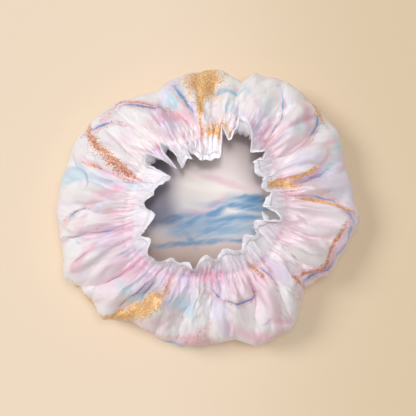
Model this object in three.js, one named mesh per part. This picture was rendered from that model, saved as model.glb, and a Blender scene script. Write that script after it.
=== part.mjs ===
// A lined, elasticated shower cap lying on its crown, with the gathered mouth up.
//
// The cap is sewn from two circles of thin material, a printed shell and a milky
// waterproof lining. A white tape binds their edge. A little way in from that edge a
// second tape makes a channel on the lining, and a short elastic ring inside it draws
// the wide circles in to a small mouth, so that the top gathers into pleats and the
// bound edge stands up round the mouth as a frill. Two rows of stitches hold the
// channel and one row holds the binding.
//
// Millimetres, +Z up. The crown rests on Z = 0, and the origin is under the middle of
// the cap. The mouth sits a little off that middle, and +X is along the cap's widest way.

import * as THREE from 'three';

// The half section of the shell's outside, from the crown's middle to the bound edge.
const FLOOR_RADIUS = 106; // the flat of the crown, which the cap lies on
const RIM_RADIUS = 138; // the widest place, as a mean round the cap
const RIM_HEIGHT = 25;
const NECK_RADIUS = 72; // at the middle of the elastic, relaxed, as a mean round the cap
const NECK_HEIGHT = 56;
const FRILL_RISE = 12; // from the elastic up to the bound edge
const FRILL_LEAN = 14; // from the elastic inwards to the bound edge
const FRILL_LEAST_RISE = 6; // where the frill leans in furthest
const RIM_FULLNESS_SHARE = 0.62; // how round the side is, from a chamfer at 0
const TOP_FULLNESS_SHARE = 0.6; // how full the top is between rim and neck
const TOP_SLOPE = 0.05; // rise over run where the top meets the hem
const NECK_SLOPE = 0.3; // rise over run of the hem, at the elastic

// Materials and what is sewn to them.
const SHELL_THICKNESS = 0.6;
const LINING_THICKNESS = 0.4;
const CLEARANCE = 0.3; // between two layers that touch
const BINDING_WIDTH = 4; // on each side of the edge
const BINDING_THICKNESS = 0.4;
const ELASTIC_WIDTH = 6;
const ELASTIC_THICKNESS = 0.8;
const CHANNEL_TAPE_WIDTH = 12;
const CHANNEL_TAPE_THICKNESS = 0.4;
const THREAD_DIAMETER = 0.5;
const CHANNEL_SEAM_SPACING = 9; // between the two rows that hold the channel tape
const BINDING_SEAM_INSET = 3.2; // from the edge to the row that holds the binding
const TACK_LENGTH = 8; // the zigzag that joins the ends of the elastic
const TACK_WIDTH = 4;
const TACK_STITCHES = 6;
const TACK_FACET = 4; // the facet of the elastic that it lies on, a wide one

// The gathers. The top swells in lobes between deep creases.
const LOBE_HEIGHT = 11; // from the plain top up to a ridge, or down to a crease, for a mean lobe
const LOBE_AT_ELASTIC_SHARE = 0.15;
const FRILL_WAVE = 4.2; // half of how far the bound edge swings in and out
const MOUTH_OFFSET = 1; // towards +Y

// Each lobe, as degrees from +X seen from above: where its crease ends at the rim and
// starts at the elastic, and where its ridge ends at the rim.
const LOBE_DEGREES = [
  [-1, 2, 13],
  [18, 12.6, 30],
  [37, 32, 46],
  [57, 50, 70],
  [74.5, 71, 82],
  [87, 84, 102],
  [113, 99.6, 125],
  [134, 133, 137],
  [141, 150, 150],
  [161, 173, 172],
  [178, 188, 185],
  [192, 197, 206],
  [213, 221, 222],
  [229, 237, 246],
  [259, 256, 264],
  [270, 277, 279],
  [289, 299, 298],
  [305, 311, 312],
  [322, 330, 332],
  [345.5, 340.5, 349],
  [353, 347.6, 356],
];

// The outline of the rim, the relaxed elastic and the frill's edge, each as [degrees,
// share of the rim's mean radius or of the elastic's].
const RIM_SHARES = [
  [13, 0.985],
  [29, 1.04],
  [31, 1.05],
  [46, 1.02],
  [58, 1.03],
  [71, 1.0],
  [74.5, 0.9],
  [84, 0.95],
  [91, 0.955],
  [104, 0.93],
  [113, 0.885],
  [132, 0.975],
  [144, 1.0],
  [155, 1.03],
  [164, 1.015],
  [179, 1.04],
  [193, 1.03],
  [206, 1.085],
  [213, 1.04],
  [227, 1.04],
  [236, 0.935],
  [259, 0.975],
  [282, 0.925],
  [289, 1.0],
  [305, 1.005],
  [320, 0.865],
  [328, 0.905],
  [330, 0.94],
  [343, 0.97],
  [354, 1.05],
];
const ELASTIC_SHARES = [
  [0, 1.04],
  [13, 1.0],
  [30, 1.03],
  [50, 1.08],
  [70, 0.97],
  [90, 0.87],
  [110, 0.86],
  [130, 0.92],
  [150, 0.94],
  [170, 0.96],
  [190, 1.04],
  [205, 1.14],
  [220, 1.17],
  [235, 1.11],
  [250, 1.03],
  [270, 0.94],
  [290, 0.97],
  [310, 1.04],
  [330, 1.03],
  [348, 1.07],
];
const FRILL_SHARES = [
  [9, 0.7],
  [26, 0.7],
  [44, 0.9],
  [62, 1.0],
  [70, 0.88],
  [78, 0.64],
  [92, 0.59],
  [102, 0.6],
  [118, 0.65],
  [134, 0.69],
  [146, 0.63],
  [158, 0.64],
  [172, 0.75],
  [193, 0.7],
  [211, 0.88],
  [226, 1.02],
  [240, 0.84],
  [261, 0.78],
  [272, 0.7],
  [298, 0.68],
  [325, 0.66],
  [358, 0.69],
];

// The rows of points along each stretch of the half section.
const RIM_ROWS = 4;
const TOP_ROWS = 4;
const HEM_ROWS = 2;

const FULL_TURN = Math.PI * 2;
const DEGREES_IN_A_TURN = 360;
const LOBES = LOBE_DEGREES.length;

// Half of the hem's straight width, as a step inwards and upwards along it.
const hemStep = new THREE.Vector2(-1, NECK_SLOPE).setLength(CHANNEL_TAPE_WIDTH / 2);

// The half section: flat crown, round rim, full top, straight hem, upright frill.
function makeHalfSection() {
  const rimLift = RIM_FULLNESS_SHARE * RIM_HEIGHT;
  const rimReach = RIM_FULLNESS_SHARE * (RIM_RADIUS - FLOOR_RADIUS);
  const topLift = TOP_FULLNESS_SHARE * (NECK_HEIGHT - RIM_HEIGHT);
  const topReach = TOP_FULLNESS_SHARE * (RIM_RADIUS - NECK_RADIUS);
  const neck = new THREE.Vector2(NECK_RADIUS, NECK_HEIGHT);
  const hemStart = neck.clone().sub(hemStep);
  const hemEnd = neck.clone().add(hemStep);
  return new THREE.Path()
    .moveTo(0, 0)
    .lineTo(FLOOR_RADIUS, 0)
    .bezierCurveTo(
      FLOOR_RADIUS + rimReach, 0,
      RIM_RADIUS, RIM_HEIGHT - rimLift,
      RIM_RADIUS, RIM_HEIGHT,
    )
    .bezierCurveTo(
      RIM_RADIUS, RIM_HEIGHT + topLift,
      hemStart.x + topReach, hemStart.y - topReach * TOP_SLOPE,
      hemStart.x, hemStart.y,
    )
    .lineTo(hemEnd.x, hemEnd.y)
    .lineTo(neck.x - FRILL_LEAN, neck.y + FRILL_RISE);
}

const halfSection = makeHalfSection();
const [FLOOR_END, RIM_END, HEM_START, HEM_END, EDGE] = halfSection.getCurveLengths();
const ELASTIC_LINE = (HEM_START + HEM_END) / 2;

// The point at a length along the half section and a depth into the cap from it. Past
// the edge the line runs straight on.
function pointAt(length, depth) {
  const within = Math.min(length, EDGE);
  const share = within / EDGE;
  const point = halfSection.getPoint(share);
  const along = halfSection.getTangent(share);
  const inwards = new THREE.Vector2(-along.y, along.x);
  return point
    .addScaledVector(along, length - within)
    .addScaledVector(inwards, depth);
}

// Lengths from one place on the half section to another, in equal steps.
function rows(from, to, count) {
  return Array.from({ length: count }, (_, i) => from + ((to - from) * (i + 1)) / count);
}

const clothRows = [
  0,
  FLOOR_END,
  ...rows(FLOOR_END, RIM_END, RIM_ROWS),
  ...rows(RIM_END, HEM_START, TOP_ROWS),
  ...rows(HEM_START, HEM_END, HEM_ROWS),
  EDGE - BINDING_WIDTH,
  EDGE,
];

// The share that a table gives at an angle, on straight runs between its entries.
function shareAt(table, degrees) {
  const { euclideanModulo, mapLinear } = THREE.MathUtils;
  const [[firstDegrees, firstShare]] = table;
  const closed = [...table, [firstDegrees + DEGREES_IN_A_TURN, firstShare]];
  const within = firstDegrees + euclideanModulo(degrees - firstDegrees, DEGREES_IN_A_TURN);
  const next = closed.findIndex(([start]) => start > within);
  const [start, share] = closed[next - 1];
  const [end, nextShare] = closed[next];
  return mapLinear(within, start, end, share, nextShare);
}

// The columns of points round the cap, which run down the crease and then the ridge of
// each lobe. Each has its degrees at the rim and at the elastic, how high it lies next to
// a mean ridge, and which way the frill's edge swings there.
const columns = LOBE_DEGREES.flatMap(([creaseEnd, creaseStart, ridgeEnd], i) => {
  const beyond = LOBE_DEGREES[0].map((degrees) => degrees + DEGREES_IN_A_TURN);
  const [nextEnd, nextStart] = LOBE_DEGREES[i + 1] ?? beyond;
  const width = ((nextEnd - creaseEnd) * LOBES) / DEGREES_IN_A_TURN;
  const ridgeStart = (creaseStart + nextStart) / 2;
  return [
    { rimDegrees: creaseEnd, elasticDegrees: creaseStart, height: -1, swing: -1 },
    { rimDegrees: ridgeEnd, elasticDegrees: ridgeStart, height: width, swing: 1 },
  ];
});

// Where the point at a length and a depth of the half section lies in a column of the
// gathered cap. Every layer goes through this, so layers that are clear of each other
// stay clear.
function placeAt(column, length, depth) {
  const { smoothstep, lerp, degToRad } = THREE.MathUtils;
  const { x: radius, y: height } = pointAt(length, depth);
  const { rimDegrees, elasticDegrees, height: lobe, swing } = column;
  const hemRadius = NECK_RADIUS - hemStep.x;
  const outwards = smoothstep(radius, hemRadius, RIM_RADIUS);
  const upwards = smoothstep(height, RIM_HEIGHT, NECK_HEIGHT - hemStep.y);
  const aboveHem = Math.max(height - NECK_HEIGHT - hemStep.y, 0);
  const intoFrill = aboveHem / (FRILL_RISE - hemStep.y);

  const rim = lerp(1, shareAt(RIM_SHARES, rimDegrees), outwards);
  const elasticShare = shareAt(ELASTIC_SHARES, elasticDegrees);
  const mouth = lerp(1, elasticShare, (1 - outwards) * upwards);
  const plainEdge = (NECK_RADIUS - FRILL_LEAN) * elasticShare;
  const leanOut = NECK_RADIUS * shareAt(FRILL_SHARES, elasticDegrees) - plainEdge;
  const reach = radius * rim * mouth + (leanOut + swing * FRILL_WAVE) * intoFrill;

  const lean = FRILL_LEAN - leanOut;
  const stand = Math.sqrt(Math.max(FRILL_LEAN ** 2 + FRILL_RISE ** 2 - lean ** 2, 0));
  const rise = Math.max(stand, FRILL_LEAST_RISE) - FRILL_RISE;

  const midTop = (hemRadius + RIM_RADIUS) / 2;
  const fromRim = 1 - smoothstep(radius, midTop, RIM_RADIUS);
  const towardsHem = 1 - smoothstep(radius, hemRadius, midTop);
  const swell = fromRim * lerp(1, LOBE_AT_ELASTIC_SHARE, towardsHem) * upwards;

  const angle = degToRad(lerp(elasticDegrees, rimDegrees, outwards));
  return new THREE.Vector3(
    reach * Math.cos(angle),
    reach * Math.sin(angle) + MOUTH_OFFSET * (1 - outwards) * upwards,
    height + swell * lobe * LOBE_HEIGHT + rise * intoFrill,
  );
}

// A piece that runs all the way round, from its closed outline in [length, depth]. Its
// quads are all split from the same corner of the cloth, whichever way the outline
// runs, so that two faces that lie on each other fold alike.
function makeRing(outline) {
  const places = [];
  const corners = [];
  columns.forEach((column, i) => {
    const start = i * outline.length;
    const next = ((i + 1) % columns.length) * outline.length;
    outline.forEach(([length, depth], j) => {
      const k = (j + 1) % outline.length;
      const [a, b, c, d] = [start + j, next + j, next + k, start + k];
      const forwards = outline[k][0] >= length;
      places.push(...placeAt(column, length, depth));
      corners.push(...(forwards ? [a, b, d, c, d, b] : [a, b, c, a, c, d]));
    });
  });
  return makeGeometry(places, corners);
}

// A geometry from its vertices and its triangles' corners.
function makeGeometry(places, corners) {
  const geometry = new THREE.BufferGeometry();
  geometry.setAttribute('position', new THREE.Float32BufferAttribute(places, 3));
  geometry.setIndex(corners);
  geometry.computeVertexNormals();
  return geometry;
}

// A layer of cloth over the whole cap, closed at the crown's middle and at the edge.
function makeClothLayer(depth, thickness) {
  const outside = clothRows.map((length) => [length, depth]);
  const inside = clothRows.map((length) => [length, depth + thickness]).reverse();
  return makeRing([...outside, ...inside]);
}

// Depths of the layers, counted from the shell's outside into the cap.
const LINING_DEPTH = SHELL_THICKNESS + CLEARANCE;
const LINING_INSIDE = LINING_DEPTH + LINING_THICKNESS;
const ELASTIC_DEPTH = LINING_INSIDE + CLEARANCE;
const TACK_DEPTH = ELASTIC_DEPTH + ELASTIC_THICKNESS + CLEARANCE;
const CHANNEL_DEPTH = TACK_DEPTH + THREAD_DIAMETER + CLEARANCE;

// The tape folded over the edge of both cloths.
function makeEdgeBinding() {
  const start = EDGE - BINDING_WIDTH;
  const seam = EDGE - BINDING_SEAM_INSET;
  const overEdge = EDGE + CLEARANCE;
  const outside = -CLEARANCE;
  const inside = LINING_INSIDE + CLEARANCE;
  return makeRing([
    [start, outside - BINDING_THICKNESS],
    [seam, outside - BINDING_THICKNESS],
    [overEdge + BINDING_THICKNESS, outside - BINDING_THICKNESS],
    [overEdge + BINDING_THICKNESS, inside + BINDING_THICKNESS],
    [seam, inside + BINDING_THICKNESS],
    [start, inside + BINDING_THICKNESS],
    [start, inside],
    [EDGE, inside],
    [overEdge, inside],
    [overEdge, outside],
    [EDGE, outside],
    [start, outside],
  ]);
}

// The flat elastic, a closed ring once its ends are joined.
function makeElasticBand() {
  const half = ELASTIC_WIDTH / 2;
  return makeRing([
    [ELASTIC_LINE - half, ELASTIC_DEPTH],
    [ELASTIC_LINE + half, ELASTIC_DEPTH],
    [ELASTIC_LINE + half, ELASTIC_DEPTH + ELASTIC_THICKNESS],
    [ELASTIC_LINE - half, ELASTIC_DEPTH + ELASTIC_THICKNESS],
  ]);
}

// The tape that covers the elastic. Its margins lie on the lining, where they are sewn,
// and its middle stands off to leave the channel.
function makeChannelTape() {
  const half = CHANNEL_TAPE_WIDTH / 2;
  const margin = half - CHANNEL_SEAM_SPACING / 2 + THREAD_DIAMETER;
  const foot = half - margin;
  const shoulder = (foot + ELASTIC_WIDTH / 2) / 2;
  const low = ELASTIC_DEPTH;
  const facing = [
    [ELASTIC_LINE - half, low],
    [ELASTIC_LINE - foot, low],
    [ELASTIC_LINE - shoulder, CHANNEL_DEPTH],
    [ELASTIC_LINE + shoulder, CHANNEL_DEPTH],
    [ELASTIC_LINE + foot, low],
    [ELASTIC_LINE + half, low],
  ];
  const back = facing.map(([length, depth]) => [length, depth + CHANNEL_TAPE_THICKNESS]);
  return makeRing([...facing, ...back.reverse()]);
}

// The zigzag thread that joins the overlapped ends of the elastic, inside the channel.
// It lies on the middle of one of the elastic's facets.
function makeElasticTack() {
  const step = TACK_LENGTH / TACK_STITCHES;
  const side = (i) => (i % 2 ? TACK_WIDTH : -TACK_WIDTH) / 2;
  const line = Array.from({ length: TACK_STITCHES + 1 }, (_, i) => [
    i * step - TACK_LENGTH / 2,
    side(i),
  ]);
  const lower = line.map(([x, y]) => new THREE.Vector2(x, y - THREAD_DIAMETER));
  const upper = line.map(([x, y]) => new THREE.Vector2(x, y + THREAD_DIAMETER)).reverse();
  const zigzag = new THREE.ExtrudeGeometry(new THREE.Shape([...lower, ...upper]), {
    depth: THREAD_DIAMETER,
    bevelEnabled: false,
  });
  const places = zigzag.getAttribute('position');
  const [start, end] = columns.slice(TACK_FACET, TACK_FACET + 2);
  const facetWidth = placeAt(start, ELASTIC_LINE, TACK_DEPTH).distanceTo(
    placeAt(end, ELASTIC_LINE, TACK_DEPTH),
  );
  for (let i = 0; i < places.count; i++) {
    const length = ELASTIC_LINE + places.getY(i);
    const depth = TACK_DEPTH + places.getZ(i);
    const across = (facetWidth / 2 - places.getX(i)) / facetWidth;
    const place = placeAt(start, length, depth).lerp(placeAt(end, length, depth), across);
    places.setXYZ(i, ...place);
  }
  zigzag.computeVertexNormals();
  return zigzag;
}

// One thread of a seam, lying on a face at a depth. The needle thread lies on the
// outside of the cap and the bobbin thread on the inside.
function makeThread(length, depth) {
  const half = THREAD_DIAMETER / 2;
  return makeRing([
    [length - half, depth],
    [length, depth - half],
    [length + half, depth],
    [length, depth + half],
  ]);
}

const materials = {
  print: new THREE.MeshStandardMaterial({ color: 0xf0dde4, roughness: 0.5, metalness: 0 }),
  milky: new THREE.MeshStandardMaterial({ color: 0xd9cdd0, roughness: 0.42, metalness: 0 }),
  tape: new THREE.MeshStandardMaterial({ color: 0xf4f1fa, roughness: 0.55, metalness: 0 }),
  elastic: new THREE.MeshStandardMaterial({ color: 0xf2f0ec, roughness: 0.8, metalness: 0 }),
  thread: new THREE.MeshStandardMaterial({ color: 0xf7f4f7, roughness: 0.6, metalness: 0 }),
};

const cap = new THREE.Group();
const crown = new THREE.Group();
const hem = new THREE.Group();
cap.add(crown, hem);

function addPiece(group, name, geometry, material) {
  const mesh = new THREE.Mesh(geometry, material);
  mesh.name = name;
  group.add(mesh);
}

addPiece(crown, 'outer_shell', makeClothLayer(0, SHELL_THICKNESS), materials.print);
addPiece(crown, 'inner_lining', makeClothLayer(LINING_DEPTH, LINING_THICKNESS), materials.milky);
addPiece(hem, 'edge_binding', makeEdgeBinding(), materials.tape);
addPiece(hem, 'elastic_band', makeElasticBand(), materials.elastic);
addPiece(hem, 'elastic_join_tack', makeElasticTack(), materials.thread);
addPiece(hem, 'channel_tape', makeChannelTape(), materials.tape);

// Each seam is a needle thread on the outside and a bobbin thread on the inside.
const threadRise = CLEARANCE + THREAD_DIAMETER / 2;
const seams = [
  {
    name: 'channel_upper_seam',
    length: ELASTIC_LINE + CHANNEL_SEAM_SPACING / 2,
    outside: 0,
    inside: ELASTIC_DEPTH + CHANNEL_TAPE_THICKNESS,
  },
  {
    name: 'channel_lower_seam',
    length: ELASTIC_LINE - CHANNEL_SEAM_SPACING / 2,
    outside: 0,
    inside: ELASTIC_DEPTH + CHANNEL_TAPE_THICKNESS,
  },
  {
    name: 'binding_seam',
    length: EDGE - BINDING_SEAM_INSET,
    outside: -CLEARANCE - BINDING_THICKNESS,
    inside: LINING_INSIDE + CLEARANCE + BINDING_THICKNESS,
  },
];
for (const seam of seams) {
  const needle = makeThread(seam.length, seam.outside - threadRise);
  const bobbin = makeThread(seam.length, seam.inside + threadRise);
  addPiece(hem, `${seam.name}_needle_thread`, needle, materials.thread);
  addPiece(hem, `${seam.name}_bobbin_thread`, bobbin, materials.thread);
}

// Sets the middle of the cap, seen from above, over the origin.
const extent = new THREE.Box3().setFromObject(cap);
const middle = extent.getCenter(new THREE.Vector3());
cap.position.set(-middle.x, -middle.y, 0);

export default cap;
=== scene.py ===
"""Shower cap, lying on its crown with its gathered mouth up.

Two circles of cloth are bound together at the edge and drawn in by an elastic. The
circles and all that is sewn to them are made flat, as they are cut and stitched, and
are then laid on the gathered cloth.
"""

import math

import bmesh
import bpy
import numpy as np
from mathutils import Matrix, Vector, geometry


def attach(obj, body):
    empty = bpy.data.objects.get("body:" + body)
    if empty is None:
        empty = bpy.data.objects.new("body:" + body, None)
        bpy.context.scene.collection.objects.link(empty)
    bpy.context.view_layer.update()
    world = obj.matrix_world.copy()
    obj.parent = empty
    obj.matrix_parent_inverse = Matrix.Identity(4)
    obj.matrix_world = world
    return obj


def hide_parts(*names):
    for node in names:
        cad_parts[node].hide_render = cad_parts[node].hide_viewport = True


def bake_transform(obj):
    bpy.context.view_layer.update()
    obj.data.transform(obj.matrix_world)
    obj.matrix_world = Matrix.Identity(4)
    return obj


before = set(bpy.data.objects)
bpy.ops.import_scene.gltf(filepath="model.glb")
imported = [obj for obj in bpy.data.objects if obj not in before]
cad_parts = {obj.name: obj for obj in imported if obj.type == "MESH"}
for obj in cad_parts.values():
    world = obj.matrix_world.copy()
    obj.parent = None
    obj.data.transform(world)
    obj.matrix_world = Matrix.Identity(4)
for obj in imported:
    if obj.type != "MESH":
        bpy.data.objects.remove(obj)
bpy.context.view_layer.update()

# Outer shell: a circle of thin printed satin, 500 mm across, with its right side out.
# The elastic draws its edge in to a mouth, so it puffs into lobes between deep creases
# and breaks into fine gathers at the elastic, with a loose frill inside that.
MM = 0.001
FULL_TURN = 2 * math.pi
FLOOR_RADIUS, RIM_RADIUS, RIM_HEIGHT = 106, 138, 25
NECK_RADIUS, NECK_HEIGHT, NECK_SLOPE = 72, 56, 0.3
FRILL_RISE, FRILL_LEAN = 12, 14
HEM_WIDTH = 12
MOUTH_OFFSET = 1
FLOOR_PULL, RIM_PULL, SHOULDER_PULL = 0.62, 0.38, 0.6

# The cap's half section, from the middle of its floor out to the rim and back to the frill.
hem_step = Vector((-1, NECK_SLOPE)).normalized() * HEM_WIDTH / 2
hem_start = Vector((NECK_RADIUS, NECK_HEIGHT)) - hem_step
hem_end = Vector((NECK_RADIUS, NECK_HEIGHT)) + hem_step
side = geometry.interpolate_bezier(
    Vector((FLOOR_RADIUS, 0, 0)),
    Vector((FLOOR_RADIUS + FLOOR_PULL * (RIM_RADIUS - FLOOR_RADIUS), 0, 0)),
    Vector((RIM_RADIUS, RIM_PULL * RIM_HEIGHT, 0)),
    Vector((RIM_RADIUS, RIM_HEIGHT, 0)),
    30,
)
reach_back = SHOULDER_PULL * (RIM_RADIUS - NECK_RADIUS)
top = geometry.interpolate_bezier(
    Vector((RIM_RADIUS, RIM_HEIGHT, 0)),
    Vector((RIM_RADIUS, RIM_HEIGHT + SHOULDER_PULL * (NECK_HEIGHT - RIM_HEIGHT), 0)),
    Vector((hem_start.x + reach_back, hem_start.y - NECK_SLOPE * reach_back, 0)),
    Vector((hem_start.x, hem_start.y, 0)),
    40,
)
frill_tip = Vector((NECK_RADIUS - FRILL_LEAN, NECK_HEIGHT + FRILL_RISE))
section = np.array([(0, 0), *(p[:2] for p in side), *(p[:2] for p in top[1:]), hem_end, frill_tip])
section_run = np.r_[0, np.cumsum(np.hypot(*np.diff(section, axis=0).T))]
RIM = section_run[len(side)]
ELASTIC = (section_run[-3] + section_run[-2]) / 2
EDGE = section_run[-1]

# Round the rim the cloth stands in straight runs between corners: degrees, share of the radius.
RIM_CORNERS = np.array([
    (13, 0.985), (29, 1.04), (31, 1.05), (46, 1.02), (58, 1.03), (71, 1.0), (74.5, 0.9), (84, 0.95),
    (91, 0.955), (104, 0.93), (113, 0.885), (132, 0.975), (144, 1.0), (155, 1.03), (164, 1.015),
    (179, 1.04), (193, 1.03), (206, 1.085), (213, 1.04), (227, 1.04), (236, 0.935), (259, 0.975),
    (282, 0.925), (289, 1.0), (305, 1.005), (320, 0.865), (328, 0.905), (330, 0.94), (343, 0.97),
    (354, 1.05),
])
# The deep creases between the lobes: where each starts at the rim and ends at the elastic.
CREASES = np.array([
    (-1, 2), (18, 12.6), (37, 32), (57, 50), (74.5, 71), (87, 84), (113, 99.6), (134, 133),
    (141, 150), (156, 166), (161, 173), (178, 188), (192, 197), (213, 221), (229, 237),
    (259, 256), (270, 277), (289, 299), (305, 311), (322, 330), (345.5, 340.5), (353, 347.6),
])
# The relaxed elastic isn't a true circle: degrees, and its radius in mm.
ELASTIC_REACH = np.array([
    (0, 75), (13, 72), (30, 74), (50, 79), (70, 74), (90, 62.5), (110, 62), (130, 66), (150, 67.5),
    (170, 69), (190, 75), (205, 82), (220, 84), (235, 80), (250, 74), (270, 68), (290, 70),
    (310, 75), (330, 74), (348, 77),
])
# The frill is stiff from its binding, and its edge runs straight from corner to corner,
# in towards the mouth and out over the cap: right and up, in mm, as seen from above.
FRILL_CORNERS = np.array([
    (52, -4), (49, 3.5), (59, 9), (45, 18.5), (51, 23), (38, 35), (50, 38), (55, 48), (40, 46),
    (40, 62), (36, 73), (29, 81), (28, 69), (12, 74), (21, 63), (19.5, 50), (12, 41.5), (2, 38),
    (-9, 39), (-18, 46), (-22, 54), (-12, 36), (-17, 38), (-25, 33), (-29, 41), (-34.5, 50),
    (-43, 52), (-38, 41), (-30, 33), (-44, 40), (-54, 42), (-53, 31), (-35, 25), (-43, 19),
    (-43, 11.5), (-53, 5), (-57, 0), (-51, -12), (-55, -26), (-60, -31), (-54, -35), (-52, -54),
    (-38, -54), (-29, -52), (-19, -58), (-13, -61), (-8, -54), (1, -52), (4, -49), (22, -45),
    (30, -41), (37, -32), (52, -10), (54, -19), (62, -18), (61, -9),
])
# How many folds there are round the cap, and what share of the spare cloth each kind takes.
MIDDLE_FOLDS, FINE_FOLDS, RUFFLES = 41, 74, 23
LOBE_SHARE, MIDDLE_SHARE, FINE_SHARE = 0.9, 0.42, 0.8
# The frill's ruffles, outwards and upwards: mm, and how late in the ruffle. They are low at
# the top of the mouth, CALM_DEGREES round.
RUFFLE_SIZES = (3.4, 0), (4.4, 0.3)
CALM_DEGREES, CALM_WIDTH, CALMED = 88, 26, 0.85
FRILL_STAND, FRILL_SPRING = 8, 0.32
ELASTIC_GROOVE = 2.4
SEED = 4


def ease(value, low, high, falling=False):
    """A smooth rise from 0 at low to 1 at high, or the fall from 1 to 0."""
    share = np.clip((value - low) / (high - low), 0, 1)
    eased = share * share * (3 - 2 * share)
    return 1 - eased if falling else eased


def bell(distance, width):
    """1 at no distance, and fading on both sides."""
    return np.exp(-((distance / width) ** 2))


def wander(turn, waves, size, seed):
    """A slow random rise and fall round the cap."""
    random = np.random.default_rng(seed)
    total = np.zeros_like(turn)
    for wave in range(1, waves + 1):
        total += random.normal() * np.cos(wave * turn + random.uniform(0, FULL_TURN)) / wave**0.5
    return size * total / waves**0.5


def fold(phase, fullness=1.25):
    """A rounded zigzag between -1 and 1, one to each whole phase."""
    zigzag = 2 * np.abs(2 * (phase % 1) - 1) - 1
    return np.sin(np.clip(zigzag * fullness, -1, 1) * math.pi / 2)


def rim_reach(turn):
    """The rim's share of its radius at a turn, on the straight runs between its corners."""
    at = np.radians(np.r_[RIM_CORNERS[-1, 0] - 360, RIM_CORNERS[:, 0], RIM_CORNERS[0, 0] + 360])
    out = np.r_[RIM_CORNERS[-1, 1], RIM_CORNERS[:, 1], RIM_CORNERS[0, 1]]
    after = np.searchsorted(at, turn, side="right")
    a, b, near, far = at[after - 1], at[after], out[after - 1], out[after]
    return near * far * np.sin(b - a) / (near * np.sin(turn - a) + far * np.sin(b - turn))


# The turn of the cloth that each corner of the frill belongs to: the corners are spread by
# their distance along the edge, and then moved to be near where they are seen.
corner_lengths = np.hypot(*(FRILL_CORNERS - np.roll(FRILL_CORNERS, 1, 0)).T)
corner_shares = (np.cumsum(corner_lengths) - corner_lengths[0]) / corner_lengths.sum()
corner_gaps = (corner_shares[:, None] - corner_shares + 0.5) % 1 - 0.5
nearness = bell(corner_gaps, 0.03)
sway = np.unwrap(np.arctan2(*FRILL_CORNERS.T[::-1])) - FULL_TURN * corner_shares
corner_turns = FULL_TURN * corner_shares + nearness @ sway / nearness.sum(1)


def frill_edge(turn):
    """Where the frill's edge is at a turn of the cloth, seen from above, in mm."""
    return [np.interp(turn, corner_turns, places, period=FULL_TURN) for places in FRILL_CORNERS.T]


def circumference_radius(run):
    """How much cloth there is round the cap at a distance from its middle, as a radius."""
    easing = np.where(run < 160, run, 160 + 0.25 * (run - 160))
    return easing * (1 - 0.45 * ease(run, ELASTIC + 2, EDGE))


def lobe_puff(run, degrees):
    """How far the lobes stand out between the creases, which lean as they near the elastic."""
    starts, ends = CREASES.T
    swung = ease(run, RIM, ELASTIC)
    untwisted = degrees
    for _ in range(2):
        slant = np.interp(untwisted, starts, ends - starts, period=360)
        untwisted = degrees - slant * swung
    starts = np.r_[starts, starts[0] + 360]
    order = np.arange(len(starts))
    lobe = np.interp((untwisted - starts[0]) % 360, starts - starts[0], order)
    uneven = np.random.default_rng(SEED).uniform(0.65, 1.25, len(CREASES))
    widths = np.radians(np.diff(starts)) * uneven
    valleys = np.minimum(widths, np.roll(widths, 1))
    valley = np.interp(lobe, order, np.r_[valleys, valleys[0]])
    ridge = widths[np.floor(lobe).astype(int) % len(widths)]
    return (valley + ridge) * (1 - np.abs(2 * (lobe % 1) - 1) ** 1.7) - valley


def swelling(run, turn, radius):
    """How far the lobes, folds and gathers stand out from the half section, in mm."""
    fullness = np.maximum(circumference_radius(run) / np.maximum(radius, 1), 1)
    excess = np.sqrt(fullness**2 - 1)
    depth = FULL_TURN * radius * excess / 4
    rounds = turn / FULL_TURN
    middle = fold(rounds * MIDDLE_FOLDS + wander(turn, 12, 0.6, SEED + 2))
    fine = fold(rounds * FINE_FOLDS + wander(turn, 18, 0.8, SEED + 3))
    on_top = ease(run, RIM + 2, RIM + 45)
    gathered = ease(run, ELASTIC - 22, ELASTIC - 3)
    puff = lobe_puff(run, np.degrees(turn))
    swell = (
        (1 - 0.92 * gathered) * radius * excess / 4 * LOBE_SHARE * puff * on_top
        + bell(run - ELASTIC + 30, 22) * depth / MIDDLE_FOLDS * MIDDLE_SHARE * middle
        * (1 + wander(turn, 14, 0.8, SEED + 8))
        + gathered * depth / FINE_FOLDS * FINE_SHARE * fine
        * (1 + wander(turn, 16, 0.4, SEED + 9))
    )
    swell = swell * (1 - ease(run, ELASTIC + 2, EDGE))
    swell *= 1 - CALMED * bell(run - ELASTIC, 4.5)
    return np.where(run < RIM, 0, swell)


def ruffled(turn):
    """How far the frill's edge waves outwards and upwards at a turn, in mm."""
    ruffle = turn / FULL_TURN * RUFFLES + wander(turn, 9, 0.8, SEED + 4)
    uneven = np.clip(1 + wander(turn, 16, 0.8, SEED + 5), 0.35, 1.6)
    uneven *= 1 - CALMED * bell(np.degrees(turn) - CALM_DEGREES, CALM_WIDTH)
    return [size * uneven * fold(ruffle + late) for size, late in RUFFLE_SIZES]


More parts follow.
